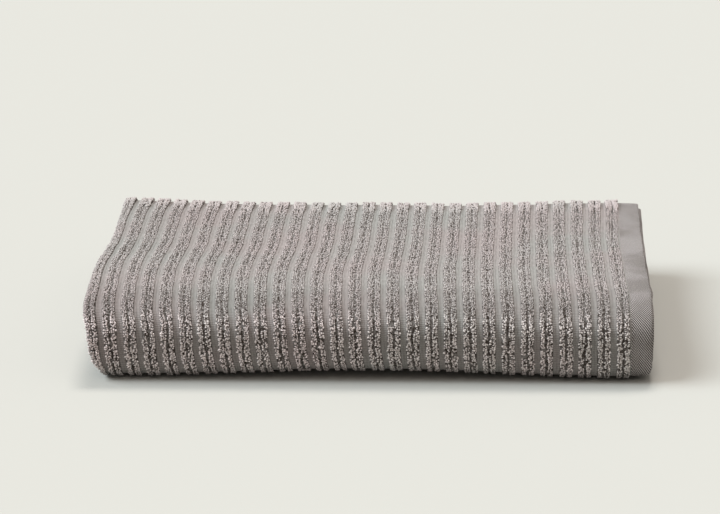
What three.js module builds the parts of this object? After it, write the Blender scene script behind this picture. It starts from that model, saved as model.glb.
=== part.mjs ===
// A ribbed terry bath towel, folded in half along its length and then across it, lying flat.
// Millimetres. +Z is up, +X runs along the front fold to the selvedges, and +Y points to the back.
// The origin is under the middle of the folded towel, on the surface that it lies on.
//
// The towel is one sheet. Its first fold, down the left side, doubles it into a hairpin: two
// layers joined at the left, with both selvedges at the right. The doubled strip is then folded
// in three, with one end inside the other, and once more in half, so the middle third wraps the
// outside. One hairpin section swept along that back-and-forth path is the whole solid, and the
// raised ribs run along the path.

import * as THREE from "three";

// Cloth
const clothThickness = 2.4;
const pairGap = 0.8;
const layerGap = 1.0;
const hemLength = 26;
const hemRibShare = 0.12;

// Ribs, which run along the towel's length on its outer face
const ribCount = 29;
const ribPitch = 11.6;
const ribHeight = 1.9;
const ribFootWidth = 7.8;
const ribCrownWidth = 6.0;
const selvedgeBand = 14.4;

// Folded size over the crowns of the ribs
const foldedDepth = 247;
const foldedWidth = 349;

// Half of a doubled strip, without and with its ribs
const halfPair = clothThickness + pairGap / 2;
const halfRibbedPair = halfPair + ribHeight;

// Heights of the middle of each doubled strip, counted from the surface up
const plainStep = 2 * halfPair + layerGap;
const ribbedStep = plainStep + ribHeight;
const doubleRibbedStep = ribbedStep + ribHeight;
const outerLow = halfRibbedPair;
const middleLow = outerLow + plainStep;
const innerLow = middleLow + ribbedStep;
const innerHigh = innerLow + doubleRibbedStep;
const middleHigh = innerHigh + ribbedStep;
const outerHigh = middleHigh + plainStep;

// Front folds: how far each lies behind the front, its sloping shoulder and its lower bend
const frontFolds = {
  outer: { inset: halfRibbedPair, shoulderDepth: 40, shoulderDrop: 19, lowerRadius: 8 },
  middle: { inset: 12.2, shoulderDepth: 32, shoulderDrop: 13, lowerRadius: 6 },
  inner: { inset: 33.5, radius: (innerHigh - innerLow) / 2 },
};

// Where the back folds and the free ends stop, and how far the upper free end hangs down
const backFaceY = foldedDepth / 2;
const backFolds = {
  high: { radius: plainStep / 2, y: backFaceY - halfRibbedPair - plainStep / 2 },
  low: { radius: (innerLow - outerLow) / 2, y: backFaceY - halfRibbedPair - 9.2 },
};
const middleEndY = backFolds.low.y - 2;
const innerEndY = backFaceY - 15;
const endDroop = 0.7;

// How the soft stack settles, in millimetres or as a share of the height
const settling = {
  leftRise: 0.06,
  leftReach: 95,
  rightRise: 0.035,
  rightReach: 45,
  topDip: 0.022,
  topSpread: 3.6,
  lowerTuck: 2.4,
  spreadReach: 60,
  leftEdge: { reach: 14, tuck: 1.7 },
  leftCorner: { reach: 14, height: 17, tuck: 3.8 },
  rightCorner: { reach: 14, height: 9, tuck: 3.0 },
  rightWaist: 0.7,
  frontLift: 2.2,
};

// How far each layer's selvedge lies inside (-) or outside (+) the stack's right face
const selvedgeShift = {
  middle: { near: -1.6, far: 0.4 },
  outer: { near: -0.3, far: 0.8 },
  inner: { near: -0.9, far: -2.6 },
};

// A quarter or half turn of the path, from one angle to another in degrees
function turn(centreY, centreZ, radiusY, radiusZ, from, to) {
  const clockwise = to < from;
  const radians = THREE.MathUtils.degToRad;
  return new THREE.EllipseCurve(
    centreY, centreZ, radiusY, radiusZ, radians(from), radians(to), clockwise,
  );
}

function line(fromY, fromZ, toY, toZ) {
  return new THREE.LineCurve(new THREE.Vector2(fromY, fromZ), new THREE.Vector2(toY, toZ));
}

function run(fromY, toY, z) {
  return line(fromY, z, toY, z);
}

// The shoulder, face and lower bend of a front fold, from the top downwards
function frontFold({ inset, shoulderDepth, shoulderDrop, lowerRadius }, high, low) {
  const face = inset - foldedDepth / 2;
  return {
    face,
    topEnd: face + shoulderDepth,
    bottomEnd: face + lowerRadius,
    shoulder: [face + shoulderDepth, high - shoulderDrop, shoulderDepth, shoulderDrop],
    bend: [face + lowerRadius, low + lowerRadius, lowerRadius, lowerRadius],
    faceTop: high - shoulderDrop,
    faceBottom: low + lowerRadius,
  };
}

// The path of the doubled strip from its inner end to its innermost end. Each piece has its
// curve, the number of steps along it, which third it belongs to, and how ribbed it is at its
// start and end.
function foldPath() {
  const outer = frontFold(frontFolds.outer, outerHigh, outerLow);
  const middle = frontFold(frontFolds.middle, middleHigh, middleLow);
  const { inset, radius } = frontFolds.inner;
  const innerTurnY = inset - foldedDepth / 2 + radius;
  const innerTurnZ = (innerLow + innerHigh) / 2;
  const { high, low } = backFolds;
  const hemStart = middleEndY - hemLength;
  const lastHem = innerEndY - hemLength;
  const piece = (third, curve, steps, ribbed = [1, 1]) => ({ third, curve, steps, ribbed });
  return [
    piece("middle", run(middleEndY, hemStart + 4, middleLow), 1, [hemRibShare, hemRibShare]),
    piece("middle", run(hemStart + 4, hemStart, middleLow), 1, [hemRibShare, 1]),
    piece("middle", run(hemStart, middle.bottomEnd, middleLow), 1),
    piece("middle", turn(...middle.bend, 270, 180), 2),
    piece("middle", line(middle.face, middle.faceBottom, middle.face, middle.faceTop), 1),
    piece("middle", turn(...middle.shoulder, 180, 90), 3),
    piece("middle", run(middle.topEnd, high.y, middleHigh), 2),
    piece("outer", turn(high.y, (middleHigh + outerHigh) / 2, high.radius, high.radius, -90, 90), 4),
    piece("outer", run(high.y, outer.topEnd, outerHigh), 5),
    piece("outer", turn(...outer.shoulder, 90, 180), 5),
    piece("outer", line(outer.face, outer.faceTop, outer.face, outer.faceBottom), 1),
    piece("outer", turn(...outer.bend, 180, 270), 3),
    piece("outer", run(outer.bottomEnd, low.y, outerLow), 2),
    piece("inner", turn(low.y, (outerLow + innerLow) / 2, low.radius, low.radius, -90, 90), 4),
    piece("inner", run(low.y, innerTurnY, innerLow), 1),
    piece("inner", turn(innerTurnY, innerTurnZ, radius, radius, 270, 90), 3),
    piece("inner", run(innerTurnY, lastHem, innerHigh), 1),
    piece("inner", line(lastHem, innerHigh, lastHem + 4, innerHigh - endDroop), 1, [1, hemRibShare]),
    piece("inner", run(lastHem + 4, innerEndY, innerHigh - endDroop), 1, [hemRibShare, hemRibShare]),
  ];
}

// The stations of the path: a point, the outward normal, the ribs' share and the third
function stationsOf(path) {
  const stations = [];
  path.forEach(({ third, curve, steps, ribbed }, index) => {
    for (let step = index === 0 ? 0 : 1; step <= steps; step += 1) {
      const share = step / steps;
      const at = curve.getPoint(share);
      const along = curve.getTangent(share);
      stations.push({
        y: at.x,
        z: at.y,
        normalY: along.y,
        normalZ: -along.x,
        ribbed: THREE.MathUtils.lerp(ribbed[0], ribbed[1], share),
        third,
      });
    }
  });
  return stations;
}

// The hairpin across the strip as a closed outline. Each point has its place across the towel,
// its height over the strip's middle, the share of that height that is rib, and whether it
// moves with the near or the far layer's selvedge.
function hairpinSection() {
  const right = foldedWidth / 2;
  const foldX = halfPair - foldedWidth / 2;
  const lastRibX = right - selvedgeBand - ribFootWidth / 2;
  const innerHalf = pairGap / 2;
  const points = [];
  const add = (x, height, rib = 0, edge = "") => points.push({ x, height, rib, edge });
  add(right, halfPair, 0, "near");
  for (let rib = 0; rib < ribCount; rib += 1) {
    const centre = lastRibX - rib * ribPitch;
    add(centre + ribFootWidth / 2, halfPair);
    add(centre + ribCrownWidth / 2, halfPair, ribHeight);
    add(centre - ribCrownWidth / 2, halfPair, ribHeight);
    add(centre - ribFootWidth / 2, halfPair);
  }
  const outerSteps = 5;
  for (let step = 1; step <= outerSteps; step += 1) {
    const angle = Math.PI * (0.5 + step / outerSteps);
    add(foldX + halfPair * Math.cos(angle), halfPair * Math.sin(angle));
  }
  const across = [0.2, 0.5, 0.8];
  across.forEach((share) => add(THREE.MathUtils.lerp(foldX, right, share), -halfPair));
  add(right, -halfPair, 0, "far");
  add(right, -innerHalf, 0, "far");
  across.toReversed().forEach((share) => add(THREE.MathUtils.lerp(foldX, right, share), -innerHalf));
  add(foldX, -innerHalf);
  add(foldX - innerHalf, 0);
  add(foldX, innerHalf);
  across.forEach((share) => add(THREE.MathUtils.lerp(foldX, right, share), innerHalf));
  add(right, innerHalf, 0, "near");
  return points;
}

// Moves a point of the neat stack to where it lies in the settled one. Both sides of the top
// stand a little higher at the back, and its middle dips. Towards the left, the top spreads
// outwards in front of its middle, and the lower front tucks in. The left edge is drawn in, the
// lower front corners more, and the lower front edge lifts off the surface in the middle. What
// lies on the surface stays on it.
function settle(x, y, z) {
  const { smoothstep } = THREE.MathUtils;
  const half = foldedWidth / 2;
  const high = z / (outerHigh + halfRibbedPair);
  const left = smoothstep(-x, half - settling.leftReach, half);
  const right = smoothstep(x, half - settling.rightReach, half);
  const towardsLeft = smoothstep(-x, -settling.spreadReach, half);
  const beforeMiddle = smoothstep(-y, -30, 30) * (1 - 0.5 * smoothstep(-y, 40, 95));
  const front = smoothstep(-y, 10, foldedDepth / 2 - 20);
  const back = smoothstep(y, 30, foldedDepth / 2);
  const lowFront = smoothstep(-y, foldedDepth / 2 - halfRibbedPair - frontFolds.outer.lowerRadius,
    foldedDepth / 2);
  const dip = Math.sin((Math.PI * (y + foldedDepth / 2)) / foldedDepth);
  const leftRise = settling.leftRise * left * (0.35 + 0.65 * back);
  const rightRise = settling.rightRise * right * (0.2 + 0.8 * back);
  const rise = leftRise + rightRise - settling.topDip * dip * (1 - left);
  const lift = settling.frontLift * (1 - (x / half) ** 2) * lowFront * (1 - high);
  const edge = ({ reach }, side) => smoothstep(side, half - reach, half);
  const low = ({ height }) => smoothstep(height - z, 0, height) * front;
  const { leftEdge, leftCorner, rightCorner } = settling;
  const drawnIn = leftEdge.tuck * edge(leftEdge, -x) * (1 - 0.6 * back);
  const corners = leftCorner.tuck * edge(leftCorner, -x) * low(leftCorner)
    - rightCorner.tuck * edge(rightCorner, x) * low(rightCorner);
  const spread = -settling.topSpread * towardsLeft * beforeMiddle * smoothstep(high, 0.65, 0.9);
  const tuck = settling.lowerTuck * towardsLeft * front * (1 - high);
  const waist = -settling.rightWaist * right * dip;
  return new THREE.Vector3(x + drawnIn + corners + spread + tuck + waist, y, z * (1 + rise) + lift);
}

// The closed surface of the section swept along the stations, with a cap at each free end
function sweep(section, stations) {
  const positions = [];
  for (const { y, z, normalY, normalZ, ribbed, third } of stations) {
    for (const { x, height, rib, edge } of section) {
      const away = height + rib * ribbed;
      const shift = edge ? selvedgeShift[third][edge] : 0;
      positions.push(...settle(x + shift, y + normalY * away, z + normalZ * away).toArray());
    }
  }
  const indices = [];
  const count = section.length;
  for (let ring = 0; ring < stations.length - 1; ring += 1) {
    for (let side = 0; side < count; side += 1) {
      const a = ring * count + side;
      const b = ring * count + ((side + 1) % count);
      indices.push(a, b, a + count, b, b + count, a + count);
    }
  }
  const flat = section.map(({ x, height, rib }) => new THREE.Vector2(x, height + rib * hemRibShare));
  const lastRing = (stations.length - 1) * count;
  for (const [a, b, c] of THREE.ShapeUtils.triangulateShape(flat, [])) {
    indices.push(a, c, b);
    indices.push(lastRing + a, lastRing + b, lastRing + c);
  }
  const geometry = new THREE.BufferGeometry();
  geometry.setAttribute("position", new THREE.Float32BufferAttribute(positions, 3));
  geometry.setIndex(indices);
  geometry.computeVertexNormals();
  return geometry;
}

// Puts the origin under the middle of the folded towel
function centred(geometry) {
  geometry.computeBoundingBox();
  const { min, max } = geometry.boundingBox;
  return geometry.translate(-(min.x + max.x) / 2, -(min.y + max.y) / 2, -min.z);
}

const terry = new THREE.MeshStandardMaterial({ color: 0xaaa4a1, roughness: 0.95, metalness: 0 });

function foldedTowel() {
  const geometry = centred(sweep(hairpinSection(), stationsOf(foldPath())));
  const mesh = new THREE.Mesh(geometry, terry);
  mesh.name = "towel";
  return mesh;
}

const towel = new THREE.Group();
towel.add(foldedTowel());

export default towel;
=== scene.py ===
import math

import bpy
import numpy as np
from mathutils import Matrix, Vector
from mathutils.geometry import tessellate_polygon


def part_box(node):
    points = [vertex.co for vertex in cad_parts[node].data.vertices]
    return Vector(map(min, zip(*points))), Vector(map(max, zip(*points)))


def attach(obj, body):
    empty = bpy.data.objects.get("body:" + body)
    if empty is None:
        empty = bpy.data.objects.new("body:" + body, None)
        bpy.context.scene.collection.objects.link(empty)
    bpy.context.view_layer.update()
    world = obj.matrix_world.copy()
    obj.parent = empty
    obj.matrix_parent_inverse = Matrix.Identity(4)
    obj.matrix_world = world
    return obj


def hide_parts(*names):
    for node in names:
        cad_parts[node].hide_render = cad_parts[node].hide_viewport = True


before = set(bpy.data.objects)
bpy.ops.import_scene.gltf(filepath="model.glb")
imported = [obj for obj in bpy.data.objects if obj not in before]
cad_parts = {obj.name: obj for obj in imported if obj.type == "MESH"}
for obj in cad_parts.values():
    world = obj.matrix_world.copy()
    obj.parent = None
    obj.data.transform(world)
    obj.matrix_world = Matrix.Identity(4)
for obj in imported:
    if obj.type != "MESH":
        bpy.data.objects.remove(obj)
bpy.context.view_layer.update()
metresPerMm = 0.001

print("stage: camera")
photoCamera = {
    "imageWidth": 720, "focalPixels": 3182.0, "sensorWidth": 36.0, "clipEnd": 20.0,
    "distance": 1.925, "elevation": 16.07, "azimuth": 2.37, "roll": -0.39,
    "target": (-0.0034, -0.1235, 0.0804),
}


def directionOf(azimuth, elevation):
    # The way from the towel to what stands there, in degrees, with azimuth 0 in front
    azimuth, elevation = math.radians(azimuth), math.radians(elevation)
    return Vector((math.sin(azimuth) * math.cos(elevation),
                   -math.cos(azimuth) * math.cos(elevation), math.sin(elevation)))


def makeCamera(settings):
    back = directionOf(settings["azimuth"], settings["elevation"])
    roll = math.radians(settings["roll"])
    level = (-back).cross(Vector((0, 0, 1))).normalized()
    upright = level.cross(-back)
    right = level * math.cos(roll) + upright * math.sin(roll)
    up = upright * math.cos(roll) - level * math.sin(roll)
    data = bpy.data.cameras.new("photoCamera")
    data.sensor_width = settings["sensorWidth"]
    data.lens = settings["focalPixels"] / settings["imageWidth"] * data.sensor_width
    data.clip_end = settings["clipEnd"]
    camera = bpy.data.objects.new("photoCamera", data)
    bpy.context.scene.collection.objects.link(camera)
    place = Matrix.Translation(Vector(settings["target"]) + back * settings["distance"])
    camera.matrix_world = place @ Matrix((right, up, back)).transposed().to_4x4()
    bpy.context.scene.camera = camera


makeCamera(photoCamera)

print("stage: floor and light")
studio = {
    "floorSize": 12.0, "floorColour": (0.42, 0.42, 0.395), "floorRoughness": 0.9,
    "floorSpecular": 0.1, "worldColour": (1.0, 0.93, 0.86), "worldStrength": 0.54,
}
# Where each light stands, seen from the front, how wide it is, and its strength and colour
lights = {
    "keyLight": {"azimuth": -87, "elevation": 44, "softness": 40, "strength": 3.7,
                 "colour": (0.90, 0.98, 1.03)},
    "overheadLight": {"azimuth": 176, "elevation": 62, "softness": 20, "strength": 2.1,
                      "colour": (1.0, 0.94, 0.89)},
    "frontLight": {"azimuth": -6, "elevation": 50, "softness": 16, "strength": 0.24,
                   "colour": (1.0, 0.92, 0.84)},
}


def makeStudio(settings):
    scene = bpy.context.scene
    scene.view_settings.view_transform = "Standard"
    half = settings["floorSize"] / 2
    mesh = bpy.data.meshes.new("floor")
    mesh.from_pydata([(-half, -half, 0), (half, -half, 0), (half, half, 0), (-half, half, 0)],
                     [], [(0, 1, 2, 3)])
    floor = bpy.data.objects.new("floor", mesh)
    scene.collection.objects.link(floor)
    paper = bpy.data.materials.new("palePaper")
    paper.use_nodes = True
    shader = paper.node_tree.nodes["Principled BSDF"]
    shader.inputs["Base Color"].default_value = (*settings["floorColour"], 1)
    shader.inputs["Roughness"].default_value = settings["floorRoughness"]
    shader.inputs["Specular IOR Level"].default_value = settings["floorSpecular"]
    mesh.materials.append(paper)

    world = bpy.data.worlds.new("studioWorld")
    world.use_nodes = True
    sky = world.node_tree.nodes["Background"]
    sky.inputs["Color"].default_value = (*settings["worldColour"], 1)
    sky.inputs["Strength"].default_value = settings["worldStrength"]
    scene.world = world

    for name, light in lights.items():
        data = bpy.data.lights.new(name, "SUN")
        data.energy = light["strength"]
        data.color = light["colour"]
        data.angle = math.radians(light["softness"])
        lamp = bpy.data.objects.new(name, data)
        towards = directionOf(light["azimuth"], light["elevation"])
        lamp.rotation_mode = "QUATERNION"
        lamp.rotation_quaternion = towards.to_track_quat("Z", "Y")
        scene.collection.objects.link(lamp)


makeStudio(studio)

print("stage: fold path")
# The towel's sizes are in millimetres, and are those of the solid in the frame
towel = {
    "width": 349.0, "depth": 247.0, "clothThickness": 2.4, "pairGap": 0.8, "layerGap": 1.0,
    "ribCount": 29, "ribPitch": 11.6, "ribFoot": 7.8, "ribHeight": 1.9,
    "band": 14.4, "hem": 26.0, "hemBlend": 4, "hemRibShare": 0.12, "endDroop": 0.7,
}
halfWidth, halfDepth = towel["width"] / 2, towel["depth"] / 2
innerHalf = towel["pairGap"] / 2
halfPair = towel["clothThickness"] + innerHalf
halfRibbedPair = halfPair + towel["ribHeight"]
plainStep = 2 * halfPair + towel["layerGap"]
ribbedStep = plainStep + towel["ribHeight"]
foldX = halfPair - halfWidth  # the middle of the fold down the left side
ribCentres = [halfWidth - towel["band"] - towel["ribFoot"] / 2 - towel["ribPitch"] * k
              for k in range(towel["ribCount"])][::-1]

# Heights of the middle of each doubled strip
outerLow = halfRibbedPair
middleLow = outerLow + plainStep
innerLow = middleLow + ribbedStep
innerHigh = innerLow + ribbedStep + towel["ribHeight"]
middleHigh = innerHigh + ribbedStep
outerHigh = middleHigh + plainStep
stackHeight = outerHigh + halfRibbedPair

# How far the inner thirds stay back from the front and the back, and the sizes of the turns. A
# shoulder has its reach from front to back and its drop.
folds = {
    "middleInset": 12.2, "noseInset": 33.5, "backLowInset": 9.2, "middleEndInset": 2,
    "innerEndInset": 15, "middleTurn": 6, "middleShoulder": (32, 13), "outerShoulder": (40, 19),
    "lowerTurn": 8, "droopLength": 4, "linePoints": 0.5, "bendPoints": 0.4, "fewestBendPoints": 12,
}


def straight(fromY, fromZ, toY, toZ):
    count = max(2, int(math.hypot(toY - fromY, toZ - fromZ) / folds["linePoints"]) + 1)
    share = np.linspace(0, 1, count)
    return np.stack([fromY + (toY - fromY) * share, fromZ + (toZ - fromZ) * share], 1)


def bend(centreY, centreZ, radiusY, radiusZ, fromAngle, toAngle):
    length = math.radians(abs(toAngle - fromAngle)) * max(radiusY, radiusZ)
    count = max(folds["fewestBendPoints"], int(length / folds["bendPoints"]))
    angle = np.radians(np.linspace(fromAngle, toAngle, count))
    return np.stack([centreY + radiusY * np.cos(angle), centreZ + radiusZ * np.sin(angle)], 1)


def foldPieces():
    # Each piece of the path: its name, its line, and the spacing of its rings
    outerFace, middleFace, noseFace = (
        inset - halfDepth for inset in (halfRibbedPair, folds["middleInset"], folds["noseInset"]))
    highRadius, lowRadius = plainStep / 2, (innerLow - outerLow) / 2
    noseRadius = (innerHigh - innerLow) / 2
    noseY, noseZ = noseFace + noseRadius, (innerLow + innerHigh) / 2
    highY = halfDepth - halfRibbedPair - highRadius
    lowY = halfDepth - halfRibbedPair - folds["backLowInset"]
    middleEnd, innerEnd = lowY - folds["middleEndInset"], halfDepth - folds["innerEndInset"]
    middleHem, innerHem = middleEnd - towel["hem"], innerEnd - towel["hem"]
    droopY, droopZ = innerHem + folds["droopLength"], innerHigh - towel["endDroop"]

    turn, lower = folds["middleTurn"], folds["lowerTurn"]
    reach, drop = folds["outerShoulder"]
    shoulderY, shoulderZ = outerFace + reach, outerHigh - drop
    middleReach, middleDrop = folds["middleShoulder"]
    middleY, middleZ = middleFace + middleReach, middleHigh - middleDrop
    return [
        ("middleHem", straight(middleEnd, middleLow, middleHem, middleLow), 8),
        ("middleLow", straight(middleHem, middleLow, middleFace + turn, middleLow), 17),
        ("middleBend", bend(middleFace + turn, middleLow + turn, turn, turn, 270, 180), 1.9),
        ("middleFace", straight(middleFace, middleLow + turn, middleFace, middleZ), 6),
        ("middleShoulder", bend(middleY, middleZ, middleReach, middleDrop, 180, 90), 5),
        ("middleHigh", straight(middleY, middleHigh, highY, middleHigh), 16),
        ("backHigh", bend(highY, (middleHigh + outerHigh) / 2, highRadius, highRadius, -90, 90),
         1.1),
        ("top", straight(highY, outerHigh, shoulderY, outerHigh), 4.4),
        ("shoulder", bend(shoulderY, shoulderZ, reach, drop, 90, 180), 2.6),
        ("face", straight(outerFace, shoulderZ, outerFace, outerLow + lower), 3.0),
        ("lowerBend", bend(outerFace + lower, outerLow + lower, lower, lower, 180, 270), 1.7),
        ("under", straight(outerFace + lower, outerLow, lowY, outerLow), 9),
        ("backLow", bend(lowY, (outerLow + innerLow) / 2, lowRadius, lowRadius, -90, 90), 1.8),
        ("innerLow", straight(lowY, innerLow, noseY, innerLow), 17),
        ("nose", bend(noseY, noseZ, noseRadius, noseRadius, 270, 90), 1.9),
        ("innerHigh", straight(noseY, innerHigh, innerHem, innerHigh), 17),
        ("innerDroop", straight(innerHem, innerHigh, droopY, droopZ), 4),
        ("innerHem", straight(droopY, droopZ, innerEnd, droopZ), 8),
    ]


def makePath():
    # One long line of points, with the length travelled, where each piece begins, and the rings
    points, starts, rings = [], {}, [0.0]
    length = 0.0
    for name, line, spacing in foldPieces():
        reach = np.hypot(*np.diff(line, axis=0).T).sum()
        starts[name] = length
        count = max(1, round(reach / spacing))
        rings += list(length + reach * np.arange(1, count + 1) / count)
        points.append(line if not points else line[1:])
        length += reach
    points = np.concatenate(points)
    travelled = np.concatenate([[0], np.cumsum(np.hypot(*np.diff(points, axis=0).T))])
    return {"points": points, "travelled": travelled, "starts": starts, "rings": np.array(rings),
            "length": travelled[-1]}


path = makePath()
starts = path["starts"]
print(f"  the doubled strip is {path['length'] / 1000:.3f} m long, with {len(path['rings'])} rings")

# How far each third's selvedge lies inside or outside the stack's right face, for its near and its
# far layer, what is added to that where some pieces of the path begin, and how far both run on
selvedgeShifts = {"middle": (-1.6, 0.4), "outer": (-0.3, 0.8), "inner": (-0.9, -2.6)}
selvedgeTrims = {"middleHem": (0, 0), "backHigh": (0, 0), "top": (1.1, 1.6),
                 "shoulder": (0.4, 0.6), "face": (-0.7, -0.9), "lowerBend": (-0.9, -1.4),
                 "under": (-0.4, -0.6), "backLow": (0, 0)}
selvedgeBlend = 4
slopeReach = 0.6  # how far on and back along the path its slope is taken


def smooth(value, low, high):
    share = np.clip((value - low) / (high - low), 0, 1)
    return share * share * (3 - 2 * share)


def smoothFrom(name, travelled, low, high):
    # From 0 to 1 between two distances along the path from where a piece begins
    return smooth(travelled, starts[name] + low, starts[name] + high)


def pointAt(travelled):
    return [np.interp(travelled, path["travelled"], path["points"][:, i]) for i in (0, 1)]


def pathAt(travelled):
    # The place, outward normal, share of the ribs' height and selvedge shifts along the path
    travelled = np.asarray(travelled, float)
    y, z = pointAt(travelled)
    ahead, behind = pointAt(travelled + slopeReach), pointAt(travelled - slopeReach)
    along = np.stack([ahead[0] - behind[0], ahead[1] - behind[1]], -1)
    along /= np.linalg.norm(along, axis=-1, keepdims=True)
    fromEnd = np.minimum(travelled, path["length"] - travelled)
    pastHem = smooth(fromEnd, towel["hem"] - towel["hemBlend"], towel["hem"])
    ribbed = towel["hemRibShare"] + (1 - towel["hemRibShare"]) * pastHem
    changes = [starts[name] + side * selvedgeBlend
               for name in ("backHigh", "backLow") for side in (-1, 1)]
    shifts = []
    for side in (0, 1):
        shift = np.interp(travelled, changes, [selvedgeShifts[third][side] for third in
                                               ("middle", "outer", "outer", "inner")])
        trim = np.interp(travelled, [starts[name] for name in selvedgeTrims],
                         [trims[side] for trims in selvedgeTrims.values()])
        shifts.append(shift + trim)
    return y, z, along[..., 1], -along[..., 0], ribbed, shifts


# How the neat stack settles: the sizes of the moves, in millimetres or as a share of the height,
# and the ranges, measured from the middle towards one side or up the stack, where they set in
settling = {
    "front": (10, halfDepth - 20), "back": (30, halfDepth), "lowFront": (88, 119),
    "leftRise": 0.06, "leftReach": 95, "leftFrontShare": 0.35,
    "rightRise": 0.053, "rightReach": 130, "rightFrontShare": 0.2, "topDip": 0.022,
    "frontLift": 4.6, "liftMiddle": 2, "liftReach": (20, 165),
    "lowerLean": 1.9, "leanReach": (-110, 40), "leanHalved": (60, 150), "leanHeight": 20,
    "topSpread": 3.6, "spreadReach": 60, "spreadFrom": (-30, 30), "spreadHalved": (40, 95),
    "spreadHeight": (0.65, 0.9), "lowerTuck": 2.4, "rightWaist": 0.7,
    "edgeReach": 14, "leftTuck": 1.7, "lessTuckAtBack": 0.6,
    "leftBulge": 1.9, "bulgeMiddle": 40, "bulgeSize": 9,
    "leftCorner": (20, 5.6), "rightCorner": (9, 3.0),
}


def settle(x, y, z):
    # Moves points of the neat stack to where they lie in the settled one
    s = settling
    high = z / stackHeight
    left = smooth(-x, halfWidth - s["leftReach"], halfWidth)
    right = smooth(x, halfWidth - s["rightReach"], halfWidth)
    towardsLeft = smooth(-x, -s["spreadReach"], halfWidth)
    front, lowFront = smooth(-y, *s["front"]), smooth(-y, *s["lowFront"])
    back = smooth(y, *s["back"])
    dip = np.sin(np.pi * (y + halfDepth) / towel["depth"])

    leftShare, rightShare = s["leftFrontShare"], s["rightFrontShare"]
    rise = (s["leftRise"] * left * (leftShare + (1 - leftShare) * back)
            + s["rightRise"] * right * (rightShare + (1 - rightShare) * back))
    rise = rise - s["topDip"] * dip * (1 - left)
    lift = smooth(halfWidth - np.abs(x - s["liftMiddle"]), *s["liftReach"])
    lift = s["frontLift"] * lift * lowFront * (1 - high)

    lean = s["lowerLean"] * smooth(-x, *s["leanReach"])
    lean = lean * (1 - 0.5 * smooth(-x, *s["leanHalved"])) * lowFront
    lean = lean * smooth(s["leanHeight"] - z, 0, s["leanHeight"])
    spread = smooth(-y, *s["spreadFrom"]) * (1 - 0.5 * smooth(-y, *s["spreadHalved"]))
    spread = -s["topSpread"] * towardsLeft * spread * smooth(high, *s["spreadHeight"])
    tuck = s["lowerTuck"] * towardsLeft * front * (1 - high)
    waist = -s["rightWaist"] * right * dip

    leftEdge, rightEdge = (smooth(side, halfWidth - s["edgeReach"], halfWidth) for side in (-x, x))
    bulge = np.exp(-((z - s["bulgeMiddle"]) / s["bulgeSize"]) ** 2)
    drawnIn = s["leftTuck"] * (1 - s["lessTuckAtBack"] * back) - s["leftBulge"] * front * bulge
    (leftHeight, leftPull), (rightHeight, rightPull) = s["leftCorner"], s["rightCorner"]
    leftLow, rightLow = (smooth(height - z, 0, height) * front
                         for height in (leftHeight, rightHeight))
    corners = leftPull * leftEdge * leftLow - rightPull * rightEdge * rightLow
    across = x + drawnIn * leftEdge + corners + spread + tuck + waist + lean
    return across, y, z * (1 + rise) + lift


def makeWaves(seed, shortest, longest, count=10):
    # Smooth unevenness from -1 to 1 over the towel, from a few seeded waves
    rng = np.random.default_rng(seed)
    size = np.exp(rng.uniform(math.log(shortest), math.log(longest), count))
    angle, phase = rng.uniform(0, 2 * np.pi, (2, count))

    def waves(x, v):
        total = 0
        for wave in range(count):
            across, along = math.cos(angle[wave]) / size[wave], math.sin(angle[wave]) / size[wave]
            total = total + np.sin(2 * np.pi * (x * across + v * along) + phase[wave])
        return total / math.sqrt(2 * count)
    return waves


# The seed of each field of waves, and its shortest and longest wave
heightWaves, meanderWaves, edgeWaves, ribWaves, rowWaves = (
    makeWaves(seed, *sizes) for seed, sizes in
    ((3, (22, 90)), (5, (18, 70)), (7, (6, 60)), (9, (7, 30)), (13, (4, 14))))
unevenness = {"height": 0.32, "meander": 0.3, "selvedge": 0.35, "ribHeight": 0.16, "crease": 0.5,
              "row": 0.22}
unevenFrom = (2, 16)  # the heights over which the layers turn uneven
# How far apart ribs, rows and selvedges lie in the fields of waves, so that each wanders alone
apart = {"meander": 31.0, "crease": 17.0, "ribHeight": 13.0, "ribHeightStart": 400,
         "rib": 23.0, "side": 5, "row": 7, "selvedge": 97}

# How far the ribs bend sideways in the cloth: for places along the path from the start of the top,
# the shift at the rib numbers listed
driftRibs = (0, 3, 7, 14, 21, 28)
ribDrift = {
    -14: (-0.4, -0.8, -0.9, -0.8, -0.3, 0.5), 0: (-1.0, -1.3, -1.4, -1.0, -0.4, 0.8),
    20: (-3.0, -2.4, -2.4, -1.4, -0.5, 0.8), 45: (-3.4, -2.8, -2.6, -1.3, -0.8, 0.0),
    75: (-3.2, -2.8, -2.5, -1.5, -1.2, -0.8), 105: (-2.4, -2.3, -2.2, -1.7, -1.5, -0.9),
    130: (-1.7, -1.8, -2.2, -2.6, -2.1, -0.3), 155: (-1.8, -2.1, -2.9, -3.3, -2.3, -0.4),
    178: (-1.8, -2.1, -2.9, -3.1, -2.0, -0.3), 200: (-1.5, -1.8, -2.5, -2.5, -1.6, -0.1),
    218: (-1.4, -1.4, -1.6, -1.8, -1.0, 0.0), 240: (-1.3, -0.9, -0.8, -1.1, -0.5, 0.0),
    262: (-1.2, -0.4, -0.4, -0.7, -0.2, 0.1), 300: (0.0, 0.0, 0.0, 0.0, 0.0, 0.0),
}
driftEase = {"window": (-12, -8, -4, 0, 4, 8, 12), "before": (14, 30), "after": (280, 300),
             "fromSelvedge": (2, 12)}


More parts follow.
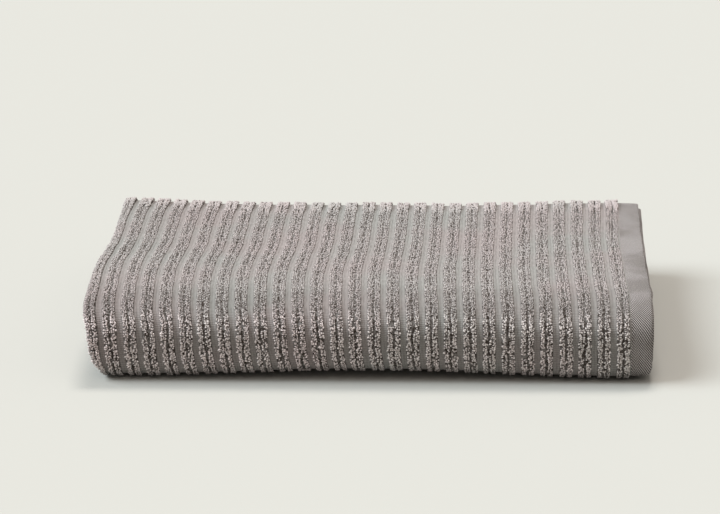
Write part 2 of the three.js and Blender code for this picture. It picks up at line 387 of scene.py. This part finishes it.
def driftOf(x, travelled):
    # Looks the shift up between the listed places, and evens it out along the rib
    x, travelled = np.broadcast_arrays(np.asarray(x, float), travelled)
    number = np.interp(x, ribCentres, np.arange(towel["ribCount"]))
    places = list(ribDrift)
    shifts = np.array([np.interp(number, driftRibs, listed) for listed in ribDrift.values()])
    shifts = shifts.reshape(len(places), -1)
    index = np.arange(shifts.shape[1])
    along = travelled - starts["top"]
    total = 0
    for nearby in driftEase["window"]:
        row = np.interp(along + nearby, places, np.arange(len(places)))
        first = np.clip(np.floor(row).astype(int), 0, len(places) - 2)
        below, share = first.ravel(), (row - first).ravel()
        shift = shifts[below, index] * (1 - share) + shifts[below + 1, index] * share
        total = total + shift.reshape(x.shape)
    outside = smooth(-along, *driftEase["before"]) + smooth(along, *driftEase["after"])
    inside = smooth(halfWidth - x, *driftEase["fromSelvedge"])
    return total / len(driftEase["window"]) * (1 - outside) * inside


# How much lower the ribs are on the top of the pile, and how much taller round its folds
pressing = {
    "onTop": 0.45, "topFrom": (2, 24), "topTo": (-14, 22), "openFront": 0.45,
    "openFrom": (24, 50), "openTo": (-12, -4), "atBack": 0.7, "backFrom": (0, 5),
}


def openAt(travelled):
    # Where the front fold spreads the loops open
    return (smoothFrom("shoulder", travelled, *pressing["openFrom"])
            * (1 - smoothFrom("under", travelled, *pressing["openTo"])))


def pressedAt(travelled):
    # How tall the ribs are, as a share of the solid's
    onTop = smoothFrom("top", travelled, *pressing["topFrom"])
    flat = onTop * (1 - smoothFrom("shoulder", travelled, *pressing["topTo"]))
    atBack = smoothFrom("backHigh", travelled, *pressing["backFrom"]) * (1 - onTop)
    return (1 - pressing["onTop"] * flat + pressing["openFront"] * openAt(travelled)
            + pressing["atBack"] * atBack)


# The solid's middle is under the origin, so the raw sizes move across by this much
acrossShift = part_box("towel")[1].x / metresPerMm - (halfWidth + selvedgeShifts["outer"][1])
lowestPoint = 0.05
print(f"  across shift {acrossShift:.3f} mm")


def placeOnTowel(x, height, rib, travelled, edge=0, around=False):
    # From the place across, the height over the strip's middle and the way along the path to a
    # place in metres. edge is 1 for the near selvedge and -1 for the far one. With around, places
    # beyond the fold at the left go round it.
    y, z, normalY, normalZ, ribbed, shifts = pathAt(travelled)
    x, travelled, edge = np.broadcast_arrays(x, travelled, edge)
    uneven = unevenness["height"] * heightWaves(x, travelled) * smooth(z, *unevenFrom)
    x = x + np.where(edge == 1, shifts[0], np.where(edge == -1, shifts[1], 0))
    edgeWander = edgeWaves(apart["selvedge"] * edge, travelled)
    x = x + np.abs(edge) * unevenness["selvedge"] * edgeWander
    away = height + rib * ribbed * pressedAt(travelled)
    if around:
        beyond = np.maximum(foldX - x, 0)
        angle = np.minimum(beyond / halfPair, math.pi)
        pastFold = np.maximum(beyond - math.pi * halfPair, 0)
        x = np.maximum(x, foldX) - away * np.sin(angle) + pastFold
        away = away * np.cos(angle)
    x, y, z = settle(x, y + normalY * away, z + normalZ * away)
    placed = np.stack([x + acrossShift, y, np.maximum(z + uneven, lowestPoint)], -1)
    return placed * metresPerMm


def meanderOf(rib, travelled):
    return unevenness["meander"] * meanderWaves(rib * apart["meander"], travelled)


def creaseOf(rib, travelled):
    return unevenness["crease"] * ribWaves(rib * apart["crease"], travelled)


print("stage: cloth")
# Across a rib: where each point lies from its middle, and how high the cloth stands there, with the
# crease between its two ropes
creaseHeight = 0.15
ribProfile = [(-3.9, 0.0), (-3.4, 0.5), (-2.4, 0.8), (-1.2, 0.75), (0.0, creaseHeight),
              (1.2, 0.75), (2.4, 0.8), (3.4, 0.5), (3.9, 0.0)]
# Across the flat band: distance from the selvedge, and height over the middle of the strip
bandProfile = [(13.4, 2.62), (11.0, 2.55), (8.0, 2.5), (5.0, 2.45), (2.6, 2.4), (1.2, 2.3),
               (0.45, 2.1), (0.08, 1.8), (0.0, 1.5), (0.12, 1.2), (0.6, 0.95), (2.2, 0.8),
               (6.0, 0.6)]
section = {"edgeWidth": 9, "foldSteps": 12, "plainSteps": 26, "noRib": -9,
           "innerFoldAngles": (250, 215, 180, 145, 110), "capRelief": 0.12,
           "firstRibGap": 0.04, "firstRibStep": 0.02, "closingWidth": 0.001}


def sectionPoints():
    # The hairpin as a closed outline: place across, height, share of rib, selvedge, rib number,
    # and the part of the cloth that the point is on
    points = []
    edgeWidth, foldSteps, plainSteps = (section[key] for key in
                                        ("edgeWidth", "foldSteps", "plainSteps"))

    def add(x, height, rib=0.0, edge=0, number=section["noRib"], part="ground"):
        points.append((x, height, rib, edge, number, part))

    def addPlain(steps, height):
        for step in steps:
            add(foldX + (halfWidth - edgeWidth - foldX) * step / plainSteps, height)

    for inward, height in reversed(bandProfile):
        add(halfWidth - inward, height, 0, 1 if inward < edgeWidth else 0, part="band")
    for number in range(towel["ribCount"] - 1, -1, -1):
        for offset, share in reversed(ribProfile):
            add(ribCentres[number] + offset, halfPair, share, 0, number, "rib")
    for step in range(foldSteps + 1):
        angle = math.pi * (0.5 + step / foldSteps)
        add(foldX + halfPair * math.cos(angle), halfPair * math.sin(angle), part="fold")
    addPlain(range(1, plainSteps), -halfPair)
    for inward, height in bandProfile:
        if inward < edgeWidth:
            add(halfWidth - inward, -height, 0, -1, part="band")
    addPlain(range(plainSteps - 1, 0, -1), -innerHalf)
    for angle in map(math.radians, section["innerFoldAngles"]):
        add(foldX + innerHalf * math.cos(angle), innerHalf * math.sin(angle))
    addPlain(range(1, plainSteps), innerHalf)
    return points


# The cloth's finishes in the order of its material slots, and how far along the path from the front
# and the back folds the painted shade under the loops' feet runs on
groundSlot, bandSlot, feetShadeSlot, pressedSlot = range(4)
feetShadeReach = {"pastFace": 12, "pastBack": 4}


def clothPlaces(x, height, rib, edge, number, part):
    # Where every point of the section lies on every ring
    travelled = path["rings"][:, None]
    onRib = number >= 0
    nearSide = (rib > 0) | (part == "rib") | ((part == "band") & (edge >= 0))
    meander = np.where(onRib, meanderOf(number, travelled), 0) + nearSide * driftOf(x, travelled)
    crease = np.where(onRib & (rib == creaseHeight), creaseOf(number, travelled), 0)
    taller = ribWaves(number * apart["ribHeight"] + apart["ribHeightStart"], travelled)
    tall = np.where(onRib & (rib > 0), 1 + unevenness["ribHeight"] * taller, 1)
    across = x + meander + crease
    # The first rib's columns keep their order where it bends towards the fold
    first = number == 0
    least = foldX + section["firstRibGap"] + section["firstRibStep"] * (x - x[first].min())
    across = np.where(first, np.maximum(across, least), across)
    return placeOnTowel(across, height, rib * tall, travelled, edge)


def mapCloth(mesh, x, height, number, faceCount):
    # The cloth's own map: across the sheet from its last rib, and along it, in metres
    rings, count = len(path["rings"]), len(x)
    outline = np.concatenate([[0], np.cumsum(np.hypot(np.diff(x), np.diff(height)))])
    fromLastRib = np.where(number >= 0, np.abs(x - ribCentres[-1]), np.inf)
    outline -= outline[int(np.argmin(fromLastRib))]
    corners = np.zeros(len(mesh.loops), np.int32)
    mesh.loops.foreach_get("vertex_index", corners)
    across = np.tile(outline, rings)[corners] * metresPerMm
    along = np.repeat(path["rings"], count)[corners] * metresPerMm
    # The face that closes the outline joins its last point to its first one
    closing = np.zeros((rings - 1, count), bool)
    closing[:, -1] = True
    closing = np.repeat(closing.ravel(), 4)
    turned = np.zeros(len(corners), bool)
    turned[:4 * faceCount] = closing & (corners[:4 * faceCount] % count == 0)
    across = np.where(turned, outline[-1] * metresPerMm + section["closingWidth"], across)
    layer = mesh.uv_layers.new(name="sheetMap")
    layer.uv.foreach_set("vector", np.stack([across, along], 1).astype(np.float32).ravel())


def makeCloth():
    *columns, part = zip(*sectionPoints())
    x, height, rib, edge, number = (np.array(column, float) for column in columns)
    part = np.array(part)
    places = clothPlaces(x, height, rib, edge, number, part)
    rings, count = places.shape[:2]
    ring, side = np.meshgrid(np.arange(rings - 1), np.arange(count), indexing="ij")
    a, b = ring * count + side, ring * count + (side + 1) % count
    faces = np.stack([a, b, b + count, a + count], -1).reshape(-1, 4)
    # Both ends are closed by the section, with a little relief so that no points are in line
    triangles = tessellate_polygon([[Vector((px, ph + section["capRelief"] * pr, 0))
                                     for px, ph, pr in zip(x, height, rib)]])
    last = (rings - 1) * count
    caps = [(p, q, r) for p, q, r in triangles]
    caps += [(last + p, last + r, last + q) for p, q, r in triangles]
    mesh = bpy.data.meshes.new("towelCloth")
    mesh.from_pydata(places.reshape(-1, 3).tolist(), [], faces.tolist() + caps)
    mapCloth(mesh, x, height, number, len(faces))

    slots = np.full((rings - 1, count), groundSlot, np.int32)
    onBand = part == "band"
    slots[:, onBand & np.roll(onBand, -1)] = bandSlot
    # Painted shade: raised rib faces under the loops take the near black finish of the loops' feet;
    # the others take the pressed pile
    raised = (rib > 0) | (np.roll(rib, -1) > 0)
    at, pastFace, pastBack = path["rings"][:-1], feetShadeReach["pastFace"], feetShadeReach["pastBack"]
    looped = (at > starts["backHigh"]) & (at < starts["under"] + pastFace)
    looped = looped | ((at > starts["backLow"] - pastBack) & (at < starts["innerLow"] + pastBack))
    slots[:, raised] = np.where(looped, feetShadeSlot, pressedSlot)[:, None]
    slots = np.concatenate([slots.ravel(), np.full(len(caps), groundSlot, np.int32)])
    mesh.polygons.foreach_set("material_index", slots)
    mesh.polygons.foreach_set("use_smooth", np.arange(len(mesh.polygons)) < len(faces))
    mesh.update()
    cloth = bpy.data.objects.new("towelCloth", mesh)
    bpy.context.scene.collection.objects.link(cloth)
    return cloth


def triangleCount(mesh):
    return sum(len(face.vertices) - 2 for face in mesh.polygons)


towelCloth = makeCloth()
print(f"  {triangleCount(towelCloth.data)} triangles")

print("stage: terry loops")
# The tree's own inputs. Its lengths are in millimetres here.
loopSettings = {
    "Spacing": 1.16, "Jitter": 0.32, "Loop Radius": 0.34, "Yarn Radius": 0.38, "Stretch": 1.7,
    "Lean": 0.5, "Kept": 0.98,
}
loopLengths = ("Spacing", "Jitter", "Loop Radius", "Yarn Radius")
# One loop: an arch with few steps, from its start through its sweep in degrees, of yarn with few
# sides, where its foot ends as a share of its height, and its range of turns and sizes
loopForm = {"steps": 3, "sides": 3, "start": -25, "sweep": 230, "foot": -0.35, "turn": 1.6,
            "smallest": 0.76, "largest": 1.2}


def makeLoopTree():
    # Sets small loops of yarn on guide lines, and stores how light each one is as shade
    tree = bpy.data.node_groups.new("terryLoopTree", "GeometryNodeTree")
    tree.interface.new_socket("Guides", in_out="INPUT", socket_type="NodeSocketGeometry")
    for name in loopSettings:
        tree.interface.new_socket(name, in_out="INPUT", socket_type="NodeSocketFloat")
    tree.interface.new_socket("Seed", in_out="INPUT", socket_type="NodeSocketInt")
    tree.interface.new_socket("Yarn", in_out="INPUT", socket_type="NodeSocketMaterial")
    tree.interface.new_socket("Loops", in_out="OUTPUT", socket_type="NodeSocketGeometry")
    given = tree.nodes.new("NodeGroupInput").outputs

    def add(kind, settings=None, values=None, output=0):
        node = tree.nodes.new(kind)
        for key, value in (settings or {}).items():
            setattr(node, key, value)
        for key, value in (values or {}).items():
            if isinstance(value, bpy.types.NodeSocket):
                tree.links.new(value, node.inputs[key])
            else:
                node.inputs[key].default_value = value
        return node.outputs[output]

    def times(a, b):
        return add("ShaderNodeMath", {"operation": "MULTIPLY"}, {0: a, 1: b})

    def vector(*numbers):
        return add("ShaderNodeCombineXYZ", None, dict(enumerate(numbers)))

    def stored(name, kind="FLOAT"):
        return add("GeometryNodeInputNamedAttribute", {"data_type": kind}, {"Name": name})

    def store(geometry, name, domain, value):
        return add("GeometryNodeStoreNamedAttribute", {"data_type": "FLOAT", "domain": domain},
                   {"Geometry": geometry, "Name": name, "Value": value})

    def randomNumber(low, high, step):
        seed = add("ShaderNodeMath", {"operation": "ADD"}, {0: given["Seed"], 1: step})
        return add("FunctionNodeRandomValue", {"data_type": "FLOAT"},
                   {2: low, 3: high, "Seed": seed}, 1)

    # One loop: a small arch of yarn, standing on its feet
    arch = add("GeometryNodeCurveArc", {"mode": "RADIUS"},
               {"Resolution": loopForm["steps"], "Radius": given["Loop Radius"],
                "Start Angle": math.radians(loopForm["start"]),
                "Sweep Angle": math.radians(loopForm["sweep"])})
    arch = add("GeometryNodeTransform", None,
               {"Geometry": arch, "Rotation": (math.radians(90), 0, 0)})
    arch = add("GeometryNodeTransform", None,
               {"Geometry": arch, "Scale": vector(1.0, 1.0, given["Stretch"])})
    yarn = add("GeometryNodeCurvePrimitiveCircle", {"mode": "RADIUS"},
               {"Resolution": loopForm["sides"], "Radius": given["Yarn Radius"]})
    loop = add("GeometryNodeCurveToMesh", None,
               {"Curve": arch, "Profile Curve": yarn, "Fill Caps": False})
    height = add("ShaderNodeSeparateXYZ", None, {0: add("GeometryNodeInputPosition")}, 2)
    tall = times(given["Loop Radius"], given["Stretch"])
    tip = add("ShaderNodeMapRange", None,
              {0: height, 1: times(tall, loopForm["foot"]), 2: tall, 3: 0.0, 4: 1.0})
    loop = store(loop, "tip", "POINT", tip)

    # Points along the guide lines, each with its own shift, turn and size
    curves = add("GeometryNodeMeshToCurve", None, {"Mesh": given["Guides"]})
    points = add("GeometryNodeResampleCurve", {"mode": "LENGTH"},
                 {"Curve": curves, "Length": given["Spacing"]})
    facing = add("FunctionNodeAxesToRotation", {"primary_axis": "Z", "secondary_axis": "X"},
                 {"Primary Axis": stored("outward", "FLOAT_VECTOR"),
                  "Secondary Axis": add("GeometryNodeInputTangent")})
    lean, turn = given["Lean"], loopForm["turn"]
    backLean = times(lean, -1.0)
    turned = add("FunctionNodeEulerToRotation", None, {
        "Euler": vector(randomNumber(backLean, lean, 1), randomNumber(backLean, lean, 2),
                        randomNumber(-turn, turn, 3))})
    rotation = add("FunctionNodeRotateRotation", {"rotation_space": "LOCAL"},
                   {"Rotation": facing, "Rotate By": turned})
    jitter = given["Jitter"]
    backJitter = times(jitter, -1.0)
    offset = vector(*(randomNumber(backJitter, jitter, step) for step in (4, 5, 6)))
    points = add("GeometryNodeSetPosition", None, {"Geometry": points, "Offset": offset})
    kept = add("FunctionNodeCompare", {"data_type": "FLOAT", "operation": "LESS_THAN"},
               {0: randomNumber(0.0, 1.0, 7), 1: times(given["Kept"], stored("thickness"))})
    size = times(randomNumber(loopForm["smallest"], loopForm["largest"], 8), stored("fullness"))
    placed = add("GeometryNodeInstanceOnPoints", None, {
        "Points": points, "Selection": kept, "Instance": loop, "Rotation": rotation,
        "Scale": vector(size, size, times(size, stored("standing")))})
    shaded = store(placed, "shade", "INSTANCE", randomNumber(0.0, 1.0, 9))
    real = add("GeometryNodeRealizeInstances", None, {"Geometry": shaded})
    soft = add("GeometryNodeSetShadeSmooth", None, {"Geometry": real, "Shade Smooth": True})
    painted = add("GeometryNodeSetMaterial", None, {"Geometry": soft, "Material": given["Yarn"]})
    result = tree.nodes.new("NodeGroupOutput")
    tree.links.new(painted, result.inputs["Loops"])
    return tree


def guideMesh(name, lines):
    # Guide lines for the loops. Each has its points, their outward directions, and how full the
    # loops are, how upright, and the share of them that is there.
    vertices, outwards, edges = [], [], []
    numbers = {"fullness": [], "standing": [], "thickness": []}
    for places, outward, *more in lines:
        first = len(vertices)
        vertices += places.tolist()
        outwards.append(outward / np.linalg.norm(outward, axis=1, keepdims=True))
        for key, values in zip(numbers, more):
            numbers[key].append(values * np.ones(len(places)))
        edges += [(first + i, first + i + 1) for i in range(len(places) - 1)]
    mesh = bpy.data.meshes.new(name)
    mesh.from_pydata(vertices, edges, [])
    layer = mesh.attributes.new("outward", "FLOAT_VECTOR", "POINT")
    layer.data.foreach_set("vector", np.concatenate(outwards).astype(np.float32).ravel())
    for key, values in numbers.items():
        layer = mesh.attributes.new(key, "FLOAT", "POINT")
        layer.data.foreach_set("value", np.concatenate(values).astype(np.float32))
    return mesh


# The rows of loops across a rib: their side of the crease, their distance from it on the top and on
# the front, the share of the loops that is there, and how far they lean away from the crease. A row
# within the crease's reach wanders as the crease does.
loopRows = [(side, *row) for side in (-1, 1) for row in
            ((3.3, 3.25, 1.0, 0.3), (2.25, 2.3, 1.0, 0), (1.15, 1.35, 1.0, -0.25))]
strayRow = (1, 0.0, 0.0, 0.3, 0)
creaseReach = 2
ribLoops = {
    "onCloth": 0.75, "step": 2.0, "firstRibShare": 0.85, "leanHeight": 1.5,
    "fullness": 0.95, "fullerAtBack": 0.75, "fullerLastRib": 0.35, "backFrom": (0, 6),
    "backTo": (4, 26), "fullerOpen": 0.42, "standing": 0.62, "standingOpen": 0.68,
    "fewerOpen": 0.18, "fewerStrays": 0.8,
}


def fullnessAt(number, travelled):
    # The loops stand taller over the fold at the back, and most on the last rib
    isLast = number == towel["ribCount"] - 1
    fuller = ribLoops["fullerAtBack"] + ribLoops["fullerLastRib"] * isLast
    atBack = (fuller * smoothFrom("backHigh", travelled, *ribLoops["backFrom"])
              * (1 - smoothFrom("top", travelled, *ribLoops["backTo"])))
    return ribLoops["fullness"] + atBack


def ribLine(number, row, fromTravel, toTravel):
    side, onTop, onFront, share, lean = row
    count = max(2, int(abs(toTravel - fromTravel) / ribLoops["step"]))
    travelled = np.linspace(fromTravel, toTravel, count)
    front = smooth(travelled, starts["shoulder"], starts["face"])
    opened = openAt(travelled)
    offset = side * (onTop + (onFront - onTop) * front)
    offset = offset * (ribLoops["firstRibShare"] if number <= 0 else 1)
    centre = ribCentres[0] + number * towel["ribPitch"]
    across = centre + offset + meanderOf(number, travelled) + driftOf(centre, travelled)
    field = number * apart["rib"] + side * apart["side"] + onTop * apart["row"]
    across = across + unevenness["row"] * rowWaves(field, travelled)
    if onTop < creaseReach:
        across = across + creaseOf(number, travelled)
    low, high = (placeOnTowel(across + side * lean * up, halfPair + ribLoops["leanHeight"] * up,
                              ribLoops["onCloth"], travelled, around=True) for up in (0, 1))
    fullness = fullnessAt(number, travelled) * (1 + ribLoops["fullerOpen"] * opened)
    standing = ribLoops["standing"] + ribLoops["standingOpen"] * opened
    share = share * (1 - ribLoops["fewerOpen"] * opened)
    if onTop == 0:
        share = share * (1 - ribLoops["fewerStrays"] * front)
    return low, high - low, fullness, standing, share


loopTree = makeLoopTree()


def makeLoops(name, lines, seed, **changes):
    piece = bpy.data.objects.new(name, guideMesh(name, lines))
    bpy.context.scene.collection.objects.link(piece)
    modifier = piece.modifiers.new("loops", "NODES")
    modifier.node_group = loopTree
    values = {**loopSettings, **changes}
    values.update({key: values[key] * metresPerMm for key in loopLengths})
    values.update({"Seed": seed, "Yarn": terryYarn})
    for item in loopTree.interface.items_tree:
        if item.name in values:
            modifier[item.identifier] = values[item.name]
    graph = bpy.context.evaluated_depsgraph_get()
    mesh = bpy.data.meshes.new_from_object(piece.evaluated_get(graph),
                                           preserve_all_data_layers=True, depsgraph=graph)
    guides = piece.data
    piece.modifiers.clear()
    piece.data = mesh
    bpy.data.meshes.remove(guides)
    mesh.name = name
    print(f"  {name}: {triangleCount(mesh)} triangles")
    return piece


class Signal:
    # Wraps a shader socket, so that sums and products of signals become Math nodes

    def __init__(self, net, socket):
        self.net, self.socket = net, socket

    def maths(self, operation, first, second=None):
        values = {0: first} if second is None else {0: first, 1: second}
        return self.net.add("ShaderNodeMath", {"operation": operation}, values)

    def __add__(self, other): return self.maths("ADD", self, other)
    def __radd__(self, other): return self.maths("ADD", other, self)
    def __sub__(self, other): return self.maths("SUBTRACT", self, other)
    def __rsub__(self, other): return self.maths("SUBTRACT", other, self)
    def __mul__(self, other): return self.maths("MULTIPLY", self, other)
    def __rmul__(self, other): return self.maths("MULTIPLY", other, self)
    def __truediv__(self, other): return self.maths("DIVIDE", self, other)
    def __rtruediv__(self, other): return self.maths("DIVIDE", other, self)
    def __pow__(self, other): return self.maths("POWER", self, other)

    def wave(self):
        # A sine from 0 to 1
        return self.maths("SINE", self) * 0.5 + 0.5

    def above(self, low, high):
        # 0 below low and 1 over high, rising smoothly between
        return self.net.add("ShaderNodeMapRange", {"interpolation_type": "SMOOTHSTEP"},
                            {0: self, 1: low, 2: high, 3: 0.0, 4: 1.0})


# What all the finishes share: little shine, and broad patches of a pinker and a greener grey
clothLook = {"specular": 0.15, "sheenRoughness": 0.5, "patch": 17.0,
             "pink": (1.0, 0.945, 0.95), "green": (0.93, 0.985, 0.97)}
# Which values of a noise a pattern fades between, softly or more sharply
softNoise, sharpNoise = (0.3, 0.7), (0.35, 0.65)


class Finish:
    # A material and its nodes, with patterns on Object coordinates

    def __init__(self, name, look):
        self.material = bpy.data.materials.new(name)
        self.material.use_nodes = True
        self.tree = self.material.node_tree
        self.shader = self.tree.nodes["Principled BSDF"]
        for socket, value in (("Roughness", look["roughness"]), ("Sheen Weight", look["sheen"]),
                              ("Specular IOR Level", clothLook["specular"]),
                              ("Sheen Roughness", clothLook["sheenRoughness"])):
            self.shader.inputs[socket].default_value = value
        self.place = self.add("ShaderNodeTexCoord", None, None, 3)

    def feed(self, socket, value):
        if isinstance(value, Signal):
            self.tree.links.new(value.socket, socket)
        elif isinstance(value, tuple) and len(value) == 3 and socket.type == "RGBA":
            socket.default_value = (*value, 1)
        else:
            socket.default_value = value

    def add(self, kind, settings=None, values=None, output=0):
        node = self.tree.nodes.new(kind)
        for key, value in (settings or {}).items():
            setattr(node, key, value)
        for key, value in (values or {}).items():
            self.feed(node.inputs[key], value)
        return Signal(self, node.outputs[output])

    def mix(self, share, first, second, blend="MIX"):
        return self.add("ShaderNodeMix", {"data_type": "RGBA", "blend_type": blend},
                        {0: share, 6: first, 7: second}, 2)

    def noise(self, scale, detail=1.0, place=None):
        return self.add("ShaderNodeTexNoise", None,
                        {"Vector": place or self.place, "Scale": scale, "Detail": detail})

    def patches(self):
        return self.noise(clothLook["patch"], 2.0).above(*softNoise)

    def sheetMap(self):
        # The cloth's own map, and the way across and along the sheet
        place = self.add("ShaderNodeUVMap", {"uv_map": "sheetMap"})
        across, along = (self.add("ShaderNodeSeparateXYZ", None, {0: place}, axis)
                         for axis in (0, 1))
        return place, across, along

    def paint(self, colour):
        self.feed(self.shader.inputs["Base Color"], colour)

    def bump(self, height, strength, distance):
        normal = self.add("ShaderNodeBump", None, {"Height": height, "Strength": strength,
                                                  "Distance": distance})
        self.feed(self.shader.inputs["Normal"], normal)


print("stage: materials")
# Painted light and shade: loops that stand open on the front fold are painted paler, as painted
# light, and the feet of the loops are painted darker, as painted shade, most on the open loops; the
# random darkening of the loops is also stronger on the open loops, as painted shade
yarnLook = {
    "roughness": 0.92, "sheen": 0.12, "openFrom": (0.65, 1.25),
    "pink": (0.46, 0.402, 0.396), "green": (0.435, 0.414, 0.40),
    "paintedLitPink": (0.91, 0.80, 0.79), "paintedLitGreen": (0.87, 0.83, 0.80),
    "dark": (0.30, 0.262, 0.252), "root": (0.13, 0.102, 0.092),
    "mottle": 420.0, "mottleShare": 0.3, "shadeShare": 0.35,
    "depth": 0.4, "paintedShadeOpen": 0.3, "footShadeRange": (0.05, 0.75), "foot": 0.35, "footShadeOpen": 0.5,
}


def makeYarn():
    look, finish = yarnLook, Finish("terryYarn", yarnLook)
    shade, tip, standing = (finish.add("ShaderNodeAttribute", {"attribute_name": name}, None, 2)
                            for name in ("shade", "tip", "standing"))
    # Painted light: loops that stand open on the front fold take paler colours
    opened = standing.above(*look["openFrom"])
    patch = finish.patches()
    light = finish.mix(opened, finish.mix(patch, look["pink"], look["green"]),
                       finish.mix(patch, look["paintedLitPink"], look["paintedLitGreen"]))
    mottle = finish.noise(look["mottle"]).above(*softNoise)
    # Each loop is darkened at random by its shade value and a mottle; on the open loops of the
    # front fold this is stronger, as painted shade
    depth = look["shadeShare"] * (1 - shade) ** 2 + look["mottleShare"] * (1 - mottle)
    depth = depth * (look["depth"] + look["paintedShadeOpen"] * opened)
    # Painted shade: the feet of the loops are darkened towards the root colour, most on the open
    # loops
    foot = (1 - tip.above(*look["footShadeRange"])) * (look["foot"] + look["footShadeOpen"] * opened)
    finish.paint(finish.mix(foot, finish.mix(depth, light, look["dark"]), look["root"]))
    return finish.material


# Pitches and reaches in metres. The ground is painted darker round the front fold, as painted shade
# from the taller loops there.
groundLook = {
    "roughness": 0.95, "sheen": 0.1, "light": (0.335, 0.313, 0.302),
    "dark": (0.165, 0.153, 0.146), "shaded": (0.15, 0.137, 0.13), "shadedShare": 0.35,
    "shadedFrom": (-0.02, 0.01), "shadedTo": (-0.004, 0.004),
    "warpsToRib": 6, "warpShare": 0.25, "warpWander": 1.5, "weftPitch": 0.0012, "weftShare": 0.4,
    "weftWander": 1.6, "wander": 260.0, "streaks": (1300.0, 160.0, 1.0), "streakShare": 0.35,
    "bump": (0.8, 0.0006),
}


def makeGround():
    look, finish = groundLook, Finish("groundWeave", groundLook)
    sheetMap, across, along = finish.sheetMap()
    wander = finish.noise(look["wander"])
    warpPitch = towel["ribPitch"] * metresPerMm / look["warpsToRib"]
    warp = across * (2 * math.pi / warpPitch) + (wander - 0.5) * look["warpWander"]
    warp = (warp - math.pi / 2).wave()
    weft = (along * (2 * math.pi / look["weftPitch"]) + wander * look["weftWander"]).wave()
    drawnOut = finish.add("ShaderNodeMapping", None, {0: sheetMap, 3: look["streaks"]})
    streaks = finish.noise(1.0, 2.0, drawnOut).above(*softNoise)
    weave = warp * look["warpShare"] + weft * look["weftShare"] + streaks * look["streakShare"]
    colour = finish.mix(weave, look["dark"], look["light"])
    # Painted shade: the ground is darkened from the shoulder to the underside of the front fold
    shoulder, under = (starts[name] * metresPerMm for name in ("shoulder", "under"))
    shaded = (along.above(*(shoulder + reach for reach in look["shadedFrom"]))
              * (1 - along.above(*(under + reach for reach in look["shadedTo"]))))
    colour = finish.mix(shaded * look["shadedShare"], colour, look["shaded"])
    tint = finish.mix(finish.patches(), clothLook["pink"], clothLook["green"])
    finish.paint(finish.mix(1.0, colour, tint, "MULTIPLY"))
    finish.bump(weave, *look["bump"])
    return finish.material


# Each wave's pitch across and along the band, in metres
bandLook = {
    "roughness": 0.85, "sheen": 0.1, "light": (0.385, 0.352, 0.335), "dark": (0.04, 0.035, 0.033),
    "twill": (0.0015, 0.0017), "dots": (0.0013, 0.0018), "dotShare": 0.65, "wander": 300.0,
    "wanderShare": 1.2, "range": (0.12, 0.58), "patch": 30.0, "patchShare": 0.35,
    "bump": (0.8, 0.0008),
}


def makeBand():
    look, finish = bandLook, Finish("selvedgeTwill", bandLook)
    across, along = finish.sheetMap()[1:]
    wander = finish.noise(look["wander"]) * look["wanderShare"]
    (twillAcross, twillAlong), (dotAcross, dotAlong) = look["twill"], look["dots"]
    twill = ((across / twillAcross + along / twillAlong) * (2 * math.pi) + wander).wave()
    dots = ((across / dotAcross - along / dotAlong) * (2 * math.pi) + wander).wave()
    weave = (1 - look["dotShare"]) * twill + look["dotShare"] * twill * dots
    weave = weave.above(*look["range"])
    patch = finish.noise(look["patch"], 2.0).above(*sharpNoise)
    light = finish.mix(patch * look["patchShare"], look["light"], clothLook["pink"])
    finish.paint(finish.mix(weave, look["dark"], light))
    finish.bump(weave, *look["bump"])
    return finish.material


# Painted shade: the cloth deep between the loops is painted near black, standing in for the shade
# there
feetShadeLook = {"roughness": 1.0, "sheen": 0.0, "deepShade": (0.04, 0.032, 0.027), "mottle": 600.0}


def makeLoopFeetShade():
    look, finish = feetShadeLook, Finish("loopFeetShade", feetShadeLook)
    mottle = finish.noise(look["mottle"]).above(*sharpNoise)
    finish.paint(finish.mix(mottle, look["deepShade"], groundLook["dark"]))
    return finish.material


# The ribs inside the pile and under it, where no single loop shows
pressedLook = {"roughness": 0.95, "sheen": 0.1, "light": (0.45, 0.405, 0.395),
               "dark": (0.25, 0.22, 0.21), "grain": 900.0, "bump": (1.0, 0.0008)}


def makePressedPile():
    look, finish = pressedLook, Finish("pressedPile", pressedLook)
    grain = finish.noise(look["grain"], 2.0).above(*softNoise)
    finish.paint(finish.mix(grain, look["dark"], look["light"]))
    finish.bump(grain, *look["bump"])
    return finish.material


terryYarn = makeYarn()
for makeFinish in (makeGround, makeBand, makeLoopFeetShade, makePressedPile):
    towelCloth.data.materials.append(makeFinish())

print("stage: loops on the ribs")
# The loops run from the fold at the back over the top and the front to a little way under the pile.
# Round the lower back fold and on the folded side, where little shows, they stand further apart.
loopRuns = {"pastFace": 14, "pastBack": 5, "fromEnds": 30, "sparse": 1.3}


def ribRows(numbers, fromTravel, toTravel, rows=(*loopRows, strayRow)):
    return [ribLine(number, row, fromTravel, toTravel) for number in numbers for row in rows]


# Each piece's name, seed, and first and last rib
loopPieces = (("terryLoopsLeft", 11, 0, 6), ("terryLoopsMidLeft", 12, 7, 13),
              ("terryLoopsMidRight", 13, 14, 20), ("terryLoopsRight", 14, 21, 28))
faceEnd = starts["under"] + loopRuns["pastFace"]
loops = [makeLoops(name, ribRows(range(first, last + 1), starts["backHigh"], faceEnd), seed)
         for name, seed, first, last in loopPieces]
backRows = ribRows(range(towel["ribCount"]), starts["backLow"] - loopRuns["pastBack"],
                   starts["innerLow"] + loopRuns["pastBack"], loopRows)
loops.append(makeLoops("terryLoopsBack", backRows, 15, Spacing=loopRuns["sparse"]))
# The side of the next rib shows round the fold at the left
foldRows = ribRows([-1], loopRuns["fromEnds"], path["length"] - loopRuns["fromEnds"],
                   [row for row in loopRows if row[0] == 1] + [(-1, 1.15, 1.6, 1.0, -0.25)])
loops.append(makeLoops("terryLoopsFold", foldRows, 16, Spacing=loopRuns["sparse"]))

print("stage: frame")
for piece in [towelCloth, *loops]:
    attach(piece, "root")
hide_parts("towel")
